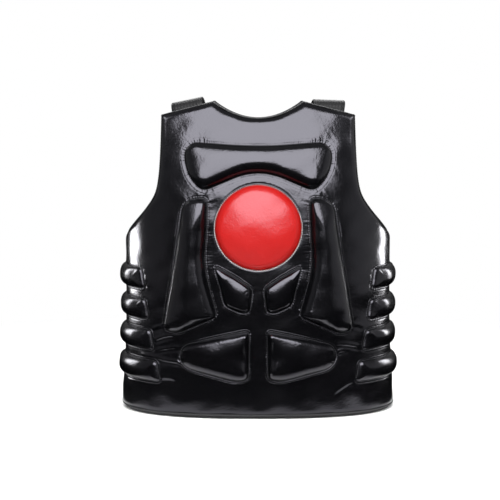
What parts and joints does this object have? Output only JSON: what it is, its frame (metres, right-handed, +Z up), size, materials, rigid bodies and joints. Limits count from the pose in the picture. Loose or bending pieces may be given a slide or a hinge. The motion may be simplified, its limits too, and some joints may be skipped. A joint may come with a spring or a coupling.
{
  "type": "body protector",
  "caption": "Padded torso protector for boxing training: leather-covered foam shell with raised front pads, a round target pad, flank rolls, bound edges, shoulder straps and a back belt.",
  "frame": {"origin": "centre of the footprint on the surface that the hem stands on", "axes": "+Z up from the hem to the shoulders, -Y out of the chest, +X to the right as seen from the front"},
  "size_m": [0.4624, 0.3124, 0.5082],
  "materials": {
    "black_leather": "glossy black coated leather with a fine grain, puckered at the seams",
    "red_leather": "satin red coated leather",
    "binding_tape": "black woven binding tape",
    "webbing": "black woven nylon webbing"
  },
  "bodies": {
    "root": {"shell": "black_leather", "hem_binding": "binding_tape", "neck_binding": "binding_tape", "armhole_binding_left": "binding_tape", "armhole_binding_right": "binding_tape", "chest_bar": "black_leather", "target_disc": "red_leather", "flank_pad_left": "black_leather", "flank_pad_right": "black_leather", "upper_ab_pad_left": "black_leather", "upper_ab_pad_right": "black_leather", "lower_ab_pad_left": "black_leather", "lower_ab_pad_right": "black_leather", "rib_pad_left_1": "black_leather", "rib_pad_left_2": "black_leather", "rib_pad_left_3": "black_leather", "rib_pad_left_4": "black_leather", "rib_pad_right_1": "black_leather", "rib_pad_right_2": "black_leather", "rib_pad_right_3": "black_leather", "rib_pad_right_4": "black_leather", "shoulder_strap_left": "webbing", "shoulder_strap_right": "webbing", "back_belt": "webbing"}
  },
  "joints": []
}
